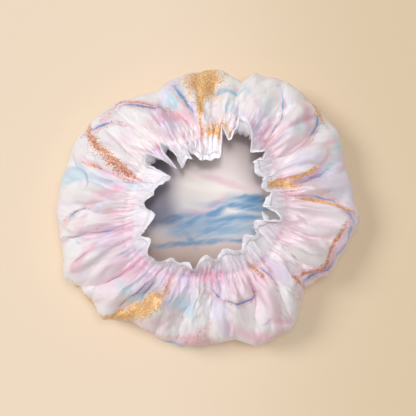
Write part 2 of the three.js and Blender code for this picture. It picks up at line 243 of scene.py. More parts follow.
def first_folds(run, turn):
    """Where each spot of the flat circle starts before the cloth settles, in mm."""
    radius = np.interp(run, section_run, section[:, 0])
    height = np.interp(run, section_run, section[:, 1])
    before, after = np.maximum(run - 2, 0), np.minimum(run + 2, EDGE)
    step = [np.interp(after, section_run, c) - np.interp(before, section_run, c) for c in section.T]
    length = np.hypot(*step)
    out_x, out_z = step[1] / length, -step[0] / length
    swell = swelling(run, turn, radius)

    # The half section is drawn out to the rim's corners and in to the elastic's own shape.
    towards_rim = np.where(
        run > RIM, ease(radius, NECK_RADIUS, RIM_RADIUS), ease(radius, 60, RIM_RADIUS)
    )
    mouth = ease(run, RIM + 5, ELASTIC - 10)
    elastic_reach = np.interp(np.degrees(turn), *ELASTIC_REACH.T, period=360)
    radius = radius * (1 + (rim_reach(turn) - 1) * towards_rim)
    radius = radius * (1 + (elastic_reach / NECK_RADIUS - 1) * mouth)

    # The frill runs from its foot, just past the elastic, to its ruffled edge.
    in_frill = np.clip((run - section_run[-2]) / (EDGE - section_run[-2]), 0, 1)
    foot = np.where(in_frill > 0, (NECK_RADIUS + hem_step.x) * elastic_reach / NECK_RADIUS, radius)
    foot_height = np.where(in_frill > 0, hem_end.y, height)
    foot += swell * out_x
    foot_x, foot_y = foot * np.cos(turn), foot * np.sin(turn) + MOUTH_OFFSET * mouth
    edge_x, edge_y = frill_edge(turn)
    across, upward = ruffled(turn)
    edge_x, edge_y = edge_x + across * np.cos(turn), edge_y + across * np.sin(turn)
    lean = np.hypot(edge_x - foot_x, edge_y - foot_y)
    upright = np.sqrt(np.maximum(FRILL_LEAN**2 + FRILL_RISE**2 - lean**2, 30))
    stand = FRILL_STAND + FRILL_SPRING * upright
    height = np.maximum(foot_height + swell * out_z + in_frill * (stand + upward), 0.4)
    height -= ELASTIC_GROOVE * bell(run - ELASTIC, 4)
    height += np.random.default_rng(SEED).normal(0, 0.25, len(run)) * ease(height, 2, 20)
    return np.c_[
        foot_x + in_frill * (edge_x - foot_x), foot_y + in_frill * (edge_y - foot_y), height
    ]


def flat_round(outline, columns):
    """Cloth that runs all the way round, flat, from its section as runs and heights in mm."""
    bm = bmesh.new()
    last = len(outline) - 1
    bmesh.ops.create_grid(bm, x_segments=columns, y_segments=last, size=0.5)
    for vert in bm.verts:
        turn = (vert.co.x + 0.5) * FULL_TURN
        run, height = outline[round((vert.co.y + 0.5) * last)]
        vert.co = (run * math.cos(turn), run * math.sin(turn), height)
    bmesh.ops.remove_doubles(bm, verts=bm.verts[:], dist=0.01)
    bmesh.ops.recalc_face_normals(bm, faces=bm.faces[:])
    return bm


def runs_and_turns(flat):
    """How far flat places are from the circle's middle, and their turns from 0."""
    turn = np.arctan2(flat[:, 1], flat[:, 0]) % FULL_TURN
    return np.hypot(flat[:, 0], flat[:, 1]), np.where(turn > FULL_TURN - 1e-6, 0, turn)


CLOTH_COLUMNS = 420
CLOTH_ROWS = np.r_[0, 30, 60, np.linspace(78, EDGE, 42)]
SOLVER_UNIT = 0.01  # the cloth solver is steadiest on a thing of a few units, so 1 is 100 mm
sheet_bm = flat_round([(run, 0) for run in CLOTH_ROWS], CLOTH_COLUMNS)
if sheet_bm.faces[0].normal.z > 0:
    bmesh.ops.reverse_faces(sheet_bm, faces=sheet_bm.faces[:])
flat = np.array([v.co[:] for v in sheet_bm.verts])
run, turn = runs_and_turns(flat)
row = np.abs(run[:, None] - CLOTH_ROWS).argmin(1)
column = np.rint(turn / FULL_TURN * CLOTH_COLUMNS).astype(int) % CLOTH_COLUMNS
settled = first_folds(run, turn)

# The folded cloth settles for a moment, blown up a little by the air in it. It is held at
# its floor, its elastic, its edge and the rim's corners, and a table stops it below.
sheet_mesh = bpy.data.meshes.new("cloth")
sheet_bm.to_mesh(sheet_mesh)
cloth = bpy.data.objects.new("cloth", sheet_mesh)
bpy.context.scene.collection.objects.link(cloth)
cloth.shape_key_add(name="Basis").data.foreach_set("co", (settled * SOLVER_UNIT).ravel())
sheet_mesh.vertices.foreach_set("co", (settled * SOLVER_UNIT).ravel())
wide = circumference_radius(CLOTH_ROWS)
rise = np.sqrt(np.maximum(np.diff(CLOTH_ROWS) ** 2 - np.diff(wide) ** 2, 0))
rise = np.r_[0, np.cumsum(rise)]
cut = np.c_[wide[row] * np.cos(turn), wide[row] * np.sin(turn), rise[row]]
cut_key = cloth.shape_key_add(name="cut")
cut_key.data.foreach_set("co", (cut * SOLVER_UNIT).ravel())
cut_key.value = 0
held = cloth.vertex_groups.new(name="held")
corner_gap = np.abs((np.degrees(turn)[:, None] - RIM_CORNERS[:, 0] + 180) % 360 - 180).min(1)
at_edge = run > EDGE - 1
at_corner = (np.abs(run - RIM) < 10) & (corner_gap < 1.3)
at_floor_or_elastic = (run <= FLOOR_RADIUS - 2) | (np.abs(run - ELASTIC) < 3.2)
for spots, share in ((at_edge, 0.9), (at_corner, 0.5), (at_floor_or_elastic, 1)):
    held.add([int(i) for i in np.flatnonzero(spots)], share, "REPLACE")
table_mesh = bpy.data.meshes.new("table")
table_bm = bmesh.new()
bmesh.ops.create_grid(table_bm, x_segments=1, y_segments=1, size=4)
table_bm.to_mesh(table_mesh)
table_bm.free()
table = bpy.data.objects.new("table", table_mesh)
bpy.context.scene.collection.objects.link(table)
table.modifiers.new("table", "COLLISION")
table.collision.thickness_outer = 0.005
LAST_FRAME = 20
fall = cloth.modifiers.new("fall", "CLOTH")
satin = fall.settings
satin.quality = 8
satin.mass = 0.15
satin.tension_stiffness = satin.compression_stiffness = 25
satin.shear_stiffness = 8
satin.bending_stiffness = 0.3
satin.bending_damping = 0.5
satin.air_damping = 4
satin.vertex_group_mass = "held"
satin.rest_shape_key = cut_key
satin.effector_weights.gravity = 0
satin.use_pressure = True
satin.uniform_pressure_force = 0.4
touch = fall.collision_settings
touch.distance_min = 0.005
touch.use_self_collision = True
touch.self_distance_min = 0.008
fall.point_cache.frame_end = LAST_FRAME
for step in range(1, LAST_FRAME + 1):
    bpy.context.scene.frame_set(step)
fallen = cloth.evaluated_get(bpy.context.evaluated_depsgraph_get())
settled = np.array([v.co[:] for v in fallen.data.vertices]) / SOLVER_UNIT
bpy.data.objects.remove(cloth)
bpy.data.objects.remove(table)
bpy.context.scene.frame_set(1)
sheet_bm.free()

# The settled cloth as rows and columns of places, with one row more past its edge.
places = np.zeros((len(CLOTH_ROWS), CLOTH_COLUMNS, 3))
places[row, column] = settled
places[0] = settled[row == 0][0]
outward = np.cross(np.gradient(places, axis=0), np.roll(places, -1, 1) - np.roll(places, 1, 1))
outward[0] = (0, 0, -1)
outward /= np.linalg.norm(outward, axis=2, keepdims=True)
if outward[1, 0, 2] > 0:
    outward[1:] *= -1
places = np.r_[places, 2 * places[-1:] - places[-2:-1]]
outward = np.r_[outward, outward[-1:]]
place_runs = np.r_[CLOTH_ROWS, 2 * CLOTH_ROWS[-1] - CLOTH_ROWS[-2]]


def between(grid, rows, columns):
    """Smooth values of a grid at fractional rows and columns."""
    last = len(grid) - 1
    row = np.clip(np.floor(rows).astype(int), 0, last - 1)
    col = np.floor(columns).astype(int)

    def spline(values, share):
        a, b, c, d = values
        return b + share / 2 * (
            c - a + share * (2 * a - 5 * b + 4 * c - d + share * (3 * (b - c) + d - a))
        )

    across = [
        spline(
            [grid[np.clip(row + i, 0, last), (col + j) % grid.shape[1]] for j in (-1, 0, 1, 2)],
            (columns - col)[:, None],
        )
        for i in (-1, 0, 1, 2)
    ]
    return spline(across, (rows - row)[:, None])


# The crisp cloth's small puffs, and its pinched gathers at the elastic, in mm.
PUFFS, PUFF_LENGTH, PUFF_WIDTH, PUFF_HEIGHT, PUFF_CURVE = 160, 36, 13, 3.0, 4.5
LOWEST_PUFF = -1.2
GATHERS, GATHER_HEIGHT = 116, 0.9
draws = np.random.default_rng(SEED + 20)
puff_run = draws.uniform(RIM - 12, ELASTIC - 12, PUFFS)
puff_turn = draws.uniform(0, FULL_TURN, PUFFS)
puff_tilt = draws.normal(0, 0.4, PUFFS)
puff_height = draws.uniform(0, PUFF_HEIGHT, PUFFS)


def puffed(run, turn):
    """How far the cloth stands out in puffs, which meet in sharp creases, in mm."""
    out = np.full(len(run), LOWEST_PUFF)
    for at_run, at_turn, tilt, height in zip(puff_run, puff_turn, puff_tilt, puff_height):
        along = run - at_run
        across = ((turn - at_turn + math.pi) % FULL_TURN - math.pi) * at_run
        length = (along * math.cos(tilt) + across * math.sin(tilt)) / PUFF_LENGTH
        width = (across * math.cos(tilt) - along * math.sin(tilt)) / PUFF_WIDTH
        out = np.maximum(out, height - PUFF_CURVE * (length**2 + width**2))
    out = out * ease(run, RIM - 14, RIM + 16)
    out = out * ease(run, ELASTIC - 26, ELASTIC - 8, falling=True)
    gather = turn / FULL_TURN * GATHERS + wander(turn, 30, 0.9, SEED + 21)
    pinched = bell(run - ELASTIC + 3, 9) * np.clip(1 + wander(turn, 20, 0.5, SEED + 22), 0.3, 1.8)
    return out + GATHER_HEIGHT * pinched * (2 * np.abs(2 * (gather % 1) - 1) - 1)


def on_cloth(flat):
    """Where flat places, with their heights, are on the gathered cap, in metres."""
    run, turn = runs_and_turns(flat)
    rows = np.interp(run, place_runs, np.arange(len(place_runs)))
    columns = turn / FULL_TURN * CLOTH_COLUMNS
    normal = between(outward, rows, columns)
    normal /= np.linalg.norm(normal, axis=1, keepdims=True)
    height = flat[:, 2] + puffed(run, turn)
    return (between(places, rows, columns) + normal * height[:, None]) * MM


def sewn_piece(name, bm, material):
    """Lays a flat piece on the gathered cloth, and keeps its flat place in an attribute."""
    flat = np.array([v.co[:] for v in bm.verts])
    mesh = bpy.data.meshes.new(name)
    bm.to_mesh(mesh)
    bm.free()
    mesh.vertices.foreach_set("co", on_cloth(flat).ravel())
    mesh.attributes.new("flat", "FLOAT_VECTOR", "POINT").data.foreach_set("vector", flat.ravel())
    mesh.polygons.foreach_set("use_smooth", [True] * len(mesh.polygons))
    mesh.materials.append(material)
    piece = bpy.data.objects.new(name, mesh)
    bpy.context.scene.collection.objects.link(piece)
    return piece


class Mark:
    """A shader value that sums, products and mixes can be written with."""

    def __init__(self, tree, socket):
        self.tree, self.socket = tree, socket

    def node(self, kind, inputs, output=0, stops=(), **settings):
        """One output of a new node, whose settings and stops are set before its sockets."""
        made = self.tree.nodes.new(kind)
        for name, value in settings.items():
            setattr(made, name, value)
        for i, (at, colour) in enumerate(stops):
            stop = made.color_ramp.elements[i] if i < 2 else made.color_ramp.elements.new(at)
            stop.position, stop.color = at, colour
        for name, value in inputs.items():
            if isinstance(value, Mark):
                self.tree.links.new(value.socket, made.inputs[name])
            else:
                made.inputs[name].default_value = value
        return Mark(self.tree, made.outputs[output])

    def maths(self, operation, *values):
        return self.node("ShaderNodeMath", dict(enumerate((self, *values))), operation=operation)

    def __add__(self, other):
        return self.maths("ADD", other)

    __radd__ = __add__

    def __mul__(self, other):
        return self.maths("MULTIPLY", other)

    __rmul__ = __mul__

    def __sub__(self, other):
        return self.maths("SUBTRACT", other)

    def __rsub__(self, other):
        return self * -1 + other

    def __abs__(self):
        return self.maths("ABSOLUTE")

    def lowest(self, other):
        return self.maths("MINIMUM", other)

    def highest(self, other):
        return self.maths("MAXIMUM", other)

    def steps(self, low, high):
        """0 below low and 1 above high, or the other way round if low is the higher."""
        rising = low < high
        return self.node(
            "ShaderNodeMapRange",
            {"Value": self, "From Min": min(low, high), "From Max": max(low, high),
             "To Min": 0.0 if rising else 1.0, "To Max": 1.0 if rising else 0.0},
            interpolation_type="SMOOTHSTEP",
        )

    def mix(self, colour, share):
        """This colour with a share of another over it."""
        return self.node("ShaderNodeMix", {6: self, 7: colour, 0: share}, 2, data_type="RGBA")

    def vector(self, operation, value):
        key = "Scale" if operation == "SCALE" else 1
        return self.node("ShaderNodeVectorMath", {0: self, key: value}, operation=operation)

    def length(self):
        return self.node("ShaderNodeVectorMath", {0: self}, 1, operation="LENGTH")

    def turn(self):
        """The turn of a flat place round the middle, from its parts."""
        along, over, _ = self.parts()
        return over.node("ShaderNodeMath", {0: over, 1: along}, operation="ARCTAN2")

    def noise(self, scale, output=0, **sockets):
        names = {"Vector": self, "Scale": scale, "Detail": 2.0, **sockets}
        return self.node("ShaderNodeTexNoise", names, output)

    def parts(self):
        split = self.node("ShaderNodeSeparateXYZ", {0: self})
        return [Mark(self.tree, part) for part in split.socket.node.outputs]

    def clouds(self, offset, scale, **sockets):
        """Noise of this place, moved so that each use of it differs."""
        return self.vector("ADD", offset).noise(scale, **sockets)


def paint(red, green, blue):
    """A colour as a paint chart gives it, from 0 to 255, for the shader."""
    shares = [value / 255 for value in (red, green, blue)]
    return (*(((c + 0.055) / 1.055) ** 2.4 if c > 0.04 else c / 12.92 for c in shares), 1)


def plain(place, colour):
    """One colour all over, for others to be mixed on."""
    base = place.node("ShaderNodeRGB", {})
    base.socket.default_value = colour
    return base


FLAT_UNIT = 100  # mm: places in a material are in units of this


def new_material(name, **constants):
    """A material, its shader, and a mark of the places that a piece's spots have when flat."""
    material = bpy.data.materials.new(name)
    material.use_nodes = True
    tree = material.node_tree
    shader = tree.nodes["Principled BSDF"]
    for socket, value in constants.items():
        shader.inputs[socket.replace("_", " ")].default_value = value
    attribute = tree.nodes.new("ShaderNodeAttribute")
    attribute.attribute_name = "flat"
    place = Mark(tree, attribute.outputs["Vector"]).vector("SCALE", 1 / FLAT_UNIT)
    return material, shader, place


def finish(shader, place, colour=None, roughness=None, metallic=None, height=None, depth=0.1):
    """Links what changes over a surface: its colour, its gloss, and its relief in mm."""
    tree = place.tree
    for name, mark in (("Base Color", colour), ("Roughness", roughness), ("Metallic", metallic)):
        if mark is not None:
            tree.links.new(mark.socket, shader.inputs[name])
    if height is not None:
        relief = place.node(
            "ShaderNodeBump", {"Height": height, "Distance": depth * MM, "Strength": 1.0}, 0
        )
        tree.links.new(relief.socket, shader.inputs["Normal"])


def seen_at(degrees, reach):
    """The flat place, in mm, of the cloth seen at degrees and mm from the middle."""
    turn = math.radians(degrees % 360)
    elastic = np.interp(degrees % 360, *ELASTIC_REACH.T, period=360)
    rim = RIM_RADIUS * rim_reach(np.array([turn]))[0]
    share = (reach - elastic) / (rim - elastic)
    top = section_run >= RIM
    section_reach = NECK_RADIUS + share * (RIM_RADIUS - NECK_RADIUS)
    run = np.interp(-section_reach, -section[top, 0], section_run[top])
    return run * math.cos(turn), run * math.sin(turn)


def seen_ends(table):
    """The rows of a table of strokes as seen, as the rows that strokes needs."""
    return [(*seen_at(*row[:2]), *seen_at(*row[2:4]), row[4]) for row in table]


def strokes(place, table):
    """How far a place is from the nearest of some long thin patches, whose edges are at 1.

    A patch is both its ends, x and y, and half its width, in mm of the flat cloth. It is
    drawn somewhat longer, since its ends are rounded.
    """
    nearest = None
    for *ends, half_width in table:
        start, end = np.array(ends[:2]) / FLAT_UNIT, np.array(ends[2:]) / FLAT_UNIT
        along = end - start
        local = place.node(
            "ShaderNodeMapping",
            {"Vector": place, "Location": (*(start + end) / 2, 0),
             "Rotation": (0, 0, math.atan2(along[1], along[0])),
             "Scale": (float(np.hypot(*along)) * 0.6, half_width / FLAT_UNIT, 1000.0)},
            vector_type="TEXTURE",
        )
        far = local.length()
        nearest = far if nearest is None else nearest.lowest(far)
    return nearest


# The print: soft clouds of pink, lavender and aqua on white, a few long veins of blue
# edged in pink, and streaks and patches of copper and gold glitter.
printed_satin, shader, place = new_material(
    "printed satin", Sheen_Weight=0.15, Sheen_Roughness=0.4, Specular_IOR_Level=0.4,
    Subsurface_Weight=0.4, Subsurface_Radius=(1.0, 0.9, 0.85), Subsurface_Scale=0.001,
)
swirl = place.noise(0.7, 1, Detail=1.0, Roughness=0.4).vector("SUBTRACT", (0.5, 0.5, 0.5))
swirled = place.vector("ADD", swirl.vector("SCALE", 1.9))
waver = place.noise(2.2, 1, Detail=2.0).vector("SUBTRACT", (0.5, 0.5, 0.5))
wavering = place.vector("ADD", waver.vector("SCALE", 0.16))
colour = plain(place, paint(251, 244, 245))
colour = colour.mix(paint(250, 230, 237), swirled.clouds((3, 1, 0), 1.3).steps(0.46, 0.6))
colour = colour.mix(paint(237, 228, 247), swirled.clouds((8, 5, 0), 1.2).steps(0.5, 0.62))
colour = colour.mix(paint(210, 231, 244), swirled.clouds((1, 9, 0), 1.3).steps(0.58, 0.68))
colour = colour.mix(paint(247, 198, 216), swirled.clouds((6, 2, 4), 1.8).steps(0.62, 0.7) * 0.55)
colour = colour.mix(paint(252, 247, 243), swirled.clouds((2, 4, 7), 1.1).steps(0.54, 0.64) * 0.85)
hairline = abs(swirled.clouds((4, 8, 1), 0.9, Detail=1.0) - 0.5).steps(0.012, 0.002)
hairline = hairline * swirled.clouds((7, 7, 3), 1.2).steps(0.48, 0.58)
colour = colour.mix(paint(176, 164, 216), hairline * 0.6)

# Painted shade with the print: the folds by the elastic are painted pinker, some in fine
# lines, for the pink shade between the gathers and the print crowded there. The frill is
# painted paler, as painted light.
gathers = place.length()
fold_shade_and_crowded_print = gathers.steps(1.9, 2.25) * place.clouds((4, 4, 4), 1.4).steps(0.35, 0.62)
colour = colour.mix(paint(244, 186, 208), fold_shade_and_crowded_print * 0.42)
around = place.turn()
line = around.node("ShaderNodeCombineXYZ", {"X": around * 34, "Y": gathers * 1.5})
# Painted crease shade, with crowded print: fine pink lines in the gathers.
crease_shade_and_print_lines = line.noise(1.0, Detail=1.0).steps(0.52, 0.66) * gathers.steps(2.0, 2.26)
crease_shade_and_print_lines = crease_shade_and_print_lines * place.clouds((1, 4, 6), 1.1).steps(0.38, 0.56)
colour = colour.mix(paint(220, 120, 168), crease_shade_and_print_lines * 0.4)
# Painted light: the frill is painted paler.
colour = colour.mix(paint(243, 238, 248), gathers.steps(2.33, 2.37) * 0.7)

# Each row of these tables has the degrees and the reach in mm of both ends, as seen from
# above, and half the width in mm.
BLUE_VEINS = [
    (112, 97, 133, 124, 1.8), (139, 118, 146, 131, 1.8), (106, 118, 99, 84, 2.2),
    (5, 80, 1, 118, 2.0), (2, 114, 352, 137, 2.4), (352, 136, 346, 135, 2.8),
    (347, 135.5, 338, 129, 3.2), (339, 129.5, 330, 121, 3.2), (331, 122, 321, 117, 3.0),
    (12, 80, 14, 112, 1.6), (39, 134, 33, 116, 2.4), (58, 132, 52, 108, 1.6),
    (52, 108, 46.4, 82, 1.5), (185, 128, 180.5, 112, 2.2), (193.4, 136, 193, 113, 1.2),
    (193, 113, 197, 84, 1.2), (203.5, 128, 201, 116, 1.6), (229, 124, 230, 108, 1.6),
    (230, 108, 233.6, 88, 1.8), (241, 133, 259, 133, 4.5), (271, 80, 279, 90, 1.6),
    (279, 91, 301, 91, 1.7), (309, 77, 310, 88, 2.4),
]
PINK_STREAKS = [
    (113, 104, 134, 130, 4), (159, 128, 164, 78, 6), (48, 128, 36, 112, 7),
    (27, 116, 26.6, 136, 4), (206, 132, 200, 108, 8), (250, 62, 282, 66, 9),
    (3, 84, 356, 136, 4), (350, 130, 324, 112, 5), (280, 118, 304, 136, 9),
    (262, 128, 275, 134, 9), (126, 92, 104, 90, 8), (12, 92, 27, 128, 4),
    (178, 100, 168, 82, 8), (307, 130, 298, 120, 4),
]
AQUA_PATCHES = [(138, 58, 144, 68, 7), (257, 62, 263, 68, 4), (92, 112, 72, 110, 4)]
aqua = strokes(wavering, seen_ends(AQUA_PATCHES))
colour = colour.mix(paint(140, 198, 234), aqua.steps(1.6, 0.3) * 0.75)
blue = strokes(wavering, seen_ends(BLUE_VEINS))
pink = strokes(wavering, seen_ends(PINK_STREAKS))
fading = wavering.clouds((9, 3, 3), 2.6).steps(0.3, 0.55) * 0.75 + 0.25
colour = colour.mix(paint(240, 170, 192), pink.steps(1.5, 0.2) * 0.62)
colour = colour.mix(paint(238, 166, 190), abs(blue - 1.6).steps(1.2, 0.2) * fading * 0.4)
hue = swirled.clouds((2, 2, 2), 1.4).steps(0.42, 0.6)
blue_paint = plain(place, paint(104, 158, 204)).mix(paint(118, 146, 208), hue)
colour = colour.mix(blue_paint, blue.steps(1.3, 0.35) * (fading * 0.7 + 0.3))

# Glitter is strewn grain by grain, thickest in the middle of its patches.
GLITTER = [
    (91, 134, 93, 106, 20), (93, 112, 95, 80, 7), (146, 136, 156, 94, 4.8),
    (156, 104, 161, 72, 7), (161, 118, 164, 80, 1.7), (232, 132, 244, 88, 10.5),
    (229, 138, 235, 120, 8), (212.5, 143, 226, 144, 4), (18, 60, 12, 78, 12),
    (15, 74, 19, 104, 3.4), (2, 84, 358, 128, 2), (350, 128, 336, 118, 2.6),
    (337, 119, 322, 111, 2.8), (319.5, 97, 319.8, 116, 2.8), (303, 70, 307, 82, 3.2),
    (92, 66, 74, 68, 6), (36, 136, 45, 136, 2.5), (114, 104, 133, 129, 1.2),
]
glitter = strokes(wavering, seen_ends(GLITTER))
clump = place.clouds((3, 3, 3), 8.0, Detail=3.0) - 0.5
grain = place.node("ShaderNodeTexVoronoi", {"Vector": place, "Scale": 105.0}, 1)
speck, grain_tone_and_glint, _ = grain.parts()
strewn = (glitter + clump * 1.6).steps(1.9, 0.35)
dusted = (blue - 2.6 + clump * 3.0).steps(0.8, -0.6) * fading * 0.16
grains = (strewn.highest(dusted) - speck).steps(0.0, 0.08)
# Each grain takes a random tone along these ramps, and the palest grains are painted glints.
gold = [(0.0, paint(216, 136, 76)), (1.0, paint(255, 232, 184)), (0.5, paint(244, 178, 106))]
copper = [(0.0, paint(176, 78, 56)), (1.0, paint(255, 214, 186)), (0.5, paint(216, 126, 88))]
gold_grain = grain_tone_and_glint.node("ShaderNodeValToRGB", {"Fac": grain_tone_and_glint}, stops=gold)
copper_grain = grain_tone_and_glint.node("ShaderNodeValToRGB", {"Fac": grain_tone_and_glint}, stops=copper)
flat_x, flat_y, _ = place.parts()
rosy = flat_x.steps(-0.3, -0.9) * flat_y.steps(0.2, 0.7)
reddish = flat_x.steps(0.7, 1.2) * flat_y.steps(0.1, -0.3)
coppery = rosy.highest(reddish)
glitter_base = strewn.steps(0.35, 1.0) * (0.85 - coppery * 0.6)
colour = colour.mix(paint(250, 200, 138), glitter_base)
colour = colour.mix(gold_grain.mix(copper_grain, coppery), grains * 0.9)
warp_x, weft_y, _ = place.vector("SCALE", 250.0).parts()
weave = warp_x.maths("SINE") * 0.5 + weft_y.maths("SINE") * 0.5
finish(shader, place, colour, 0.46 - grains * 0.08, grains * 0.12, weave, 0.02)

SHELL_WALL = (0.05, 0.22)
PIECE_COLUMNS = 640
PIECE_ROWS = np.r_[0, 25, 50, 70, np.linspace(82, EDGE, 64)]


def circle_section(wall):
    """The outline of a circle of cloth whose wall is between two heights, in mm."""
    inside, outside = wall
    return [(run, outside) for run in PIECE_ROWS] + [(run, inside) for run in PIECE_ROWS[::-1]]


outer_shell = sewn_piece(
    "outer_shell_cloth", flat_round(circle_section(SHELL_WALL), PIECE_COLUMNS), printed_satin
)
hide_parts("outer_shell")
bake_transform(outer_shell)

# Inner lining: a second circle of the same size, of smooth milky waterproof film. The
# print shows through it faintly and blurred, and painted light and shade lie over it inside.
milky_film, shader, place = new_material(
    "milky film", Specular_IOR_Level=0.5, Subsurface_Weight=0.4,
    Subsurface_Radius=(1.0, 0.9, 0.85), Subsurface_Scale=0.001,
)
haze = place.noise(2.4, 1, Detail=4.0).vector("SUBTRACT", (0.5, 0.5, 0.5))
hazy = place.vector("ADD", haze.vector("SCALE", 0.14))
across, up, _ = hazy.parts()
cloudy = hazy.clouds((5, 1, 3), 1.6, Detail=3.0) - 0.5
# Painted light over the print seen through: the ramp runs from the bottom of the inside to its top,
# and its top stops are painted brighter where the frill's shadow falls.
print_and_painted_light = (up + across * 0.12 + cloudy * 0.35) * 0.7 + 0.5
colour = print_and_painted_light.node(
    "ShaderNodeValToRGB", {"Fac": print_and_painted_light},
    stops=[
        (0.0, paint(196, 158, 142)), (1.0, paint(255, 232, 227)), (0.24, paint(205, 178, 168)),
        (0.34, paint(220, 206, 203)), (0.50, paint(216, 210, 212)), (0.62, paint(236, 224, 217)),
        (0.72, paint(255, 234, 229)), (0.80, paint(255, 234, 229)),
    ],
)
# Each row: both ends right and up of the middle, and half the width, in mm.
MIST_BLUE = [(-30, -16, 54, -14, 15), (14, 6, 60, 8, 9)]
STEEL_BLUE = [
    (-48, -6, -21, -10, 4.5), (-30, -13, 4, -14, 8), (-8, -15, 15, 4, 3.6), (13, 5, 50, 2, 2.8),
    (2, -17, 27, -9, 3.4), (26, -10, 46, -7, 2.2), (-36, -32, 22, -29, 1.6),
    (-22, -18, -15, -29, 2.4), (30, 14, 52, 10, 3.4),
]
FAINT_PINK = [(-26, -3, -2, 0, 3.6), (-4, 1, 18, 14, 3.2), (-4, 34, 30, 24, 3)]
CREAM = [(-30, 27, 16, 21, 4), (16, -1, 30, 1, 4.5)]
mist, steel = strokes(hazy, MIST_BLUE), strokes(hazy, STEEL_BLUE)
faint_pink, cream = strokes(hazy, FAINT_PINK), strokes(hazy, CREAM)
brushed = hazy.node(
    "ShaderNodeMapping", {"Vector": hazy, "Rotation": (0, 0, 0.3), "Scale": (0.5, 0.1, 1)},
    vector_type="TEXTURE",
)
brushed = brushed.noise(1.6, Detail=2.5).steps(0.36, 0.64)
colour = colour.mix(paint(142, 174, 198), mist.steps(1.3, 0.5) * (brushed * 0.45 + 0.5))
colour = colour.mix(paint(224, 168, 188), faint_pink.steps(1.8, 0.1) * 0.6)
colour = colour.mix(paint(248, 236, 226), cream.steps(1.6, 0.4) * 0.8)
colour = colour.mix(paint(66, 130, 176), steel.steps(2.6, 0.4) * (brushed * 0.5 + 0.5))
# Painted shadow where the left rim shades the inside, mixed with the dark left end of the blue
# band.
left_shadow_and_blue_band = across.steps(-0.2, -0.42) * up.steps(-0.2, -0.08)
colour = colour.mix(paint(92, 88, 118), left_shadow_and_blue_band * 0.8)
colour = colour.mix(paint(243, 236, 243), place.length().steps(1.05, 1.5) * 0.85)
finish(shader, place, colour, place.noise(6.0) * 0.15 + 0.4, None, place.noise(30.0), 0.04)
LINING_WALL = (-0.22, -0.05)
inner_lining = sewn_piece(
    "inner_lining_cloth", flat_round(circle_section(LINING_WALL), PIECE_COLUMNS), milky_film
)
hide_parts("inner_lining")
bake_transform(inner_lining)


# Edge binding: a white woven tape folded over the edge of both circles and sewn through,
# which makes the frill stiff.
def tape_material(name, tint):
    material, shader, place = new_material(name, Sheen_Weight=0.1, Specular_IOR_Level=0.3)
    weave = (place.turn() * 2400).maths("SINE") * (place.length() * 700).maths("SINE")
    shade = place.noise(9.0).steps(0.45, 0.75) * 0.5
    colour = plain(place, tint).mix(paint(222, 214, 238), shade)
    finish(shader, place, colour, weave * 0.05 + 0.6, None, weave, 0.06)
    return material


def round_strip(outline):
    """A strip that runs all round, flat, from the corners of its section."""
    return flat_round([*outline, outline[0]], PIECE_COLUMNS)


white_tape = tape_material("white tape", paint(249, 247, 253))
BINDING_WIDTH = 4
BINDING_OUTLINE = [
    (EDGE - BINDING_WIDTH, 0.25), (EDGE - BINDING_WIDTH, 0.4), (EDGE - 2, 0.42), (EDGE - 0.2, 0.4),
    (EDGE + 0.3, 0.15), (EDGE + 0.3, -0.15), (EDGE - 0.2, -0.4), (EDGE - 2, -0.42),
    (EDGE - BINDING_WIDTH, -0.4), (EDGE - BINDING_WIDTH, -0.25), (EDGE, -0.25), (EDGE, 0.25),
]
edge_binding = sewn_piece("edge_binding_tape", round_strip(BINDING_OUTLINE), white_tape)
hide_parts("edge_binding")
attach(edge_binding, "hem")

# Channel tape: a white tape sewn to the lining by its two edges. It stands off between
# them, and the elastic runs there.
CHANNEL_OUTLINE = [
    (ELASTIC - 6, -0.27), (ELASTIC - 6, -0.42), (ELASTIC - 4.2, -0.45), (ELASTIC - 3.2, -1.0),
    (ELASTIC - 1.5, -1.0), (ELASTIC, -1.0), (ELASTIC + 1.5, -1.0), (ELASTIC + 3.2, -1.0),
    (ELASTIC + 4.2, -0.45), (ELASTIC + 6, -0.42), (ELASTIC + 6, -0.27), (ELASTIC + 3.9, -0.27),
    (ELASTIC + 3.1, -0.85), (ELASTIC + 1.5, -0.85), (ELASTIC, -0.85), (ELASTIC - 1.5, -0.85),
    (ELASTIC - 3.1, -0.85), (ELASTIC - 3.9, -0.27),
]
channel_tape = sewn_piece("channel_tape_strip", round_strip(CHANNEL_OUTLINE), white_tape)
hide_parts("channel_tape")
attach(channel_tape, "hem")

# Elastic: a flat band of braided rubber and thread, 6 mm wide, which runs loose in the
# channel and draws the mouth in.
elastic_braid, shader, place = new_material("elastic braid", Specular_IOR_Level=0.3)
ribs = (place.length() * 1050).maths("SINE")
colour = plain(place, paint(236, 233, 226))
# Painted shade: the hollows between the ribs are painted darker.
colour = colour.mix(paint(206, 202, 194), ribs.steps(0.1, -0.6) * 0.6)
finish(shader, place, colour, ribs * 0.06 + 0.6, None, ribs, 0.15)
ELASTIC_WIDTH, ELASTIC_WALL = 6, (-0.35, -0.75)
elastic_rows = ELASTIC + ELASTIC_WIDTH / 2 * np.array([-1, -0.5, 0, 0.5, 1])
ELASTIC_OUTLINE = [
    *((row, ELASTIC_WALL[0]) for row in elastic_rows),
    *((row, ELASTIC_WALL[1]) for row in elastic_rows[::-1]),
]
elastic_band = sewn_piece("elastic_band_braid", round_strip(ELASTIC_OUTLINE), elastic_braid)
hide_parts("elastic_band")
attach(elastic_band, "hem")

# Seams: lock stitches along both edges of the channel and along the binding. The needle
# thread lies outside and the bobbin thread inside, and each dips into the cloth between
# its stitches.
spun_thread, shader, place = new_material("spun thread", Specular_IOR_Level=0.3)
twist, _, _ = place.vector("SCALE", 900.0).parts()
twist = twist.maths("SINE")
colour = plain(place, paint(240, 236, 242)).mix(paint(208, 202, 214), twist.steps(0, 1) * 0.5)
finish(shader, place, colour, place.noise(80.0) * 0.1 + 0.55, None, twist, 0.05)
THREAD_RADIUS, STITCH = 0.22, 3.2


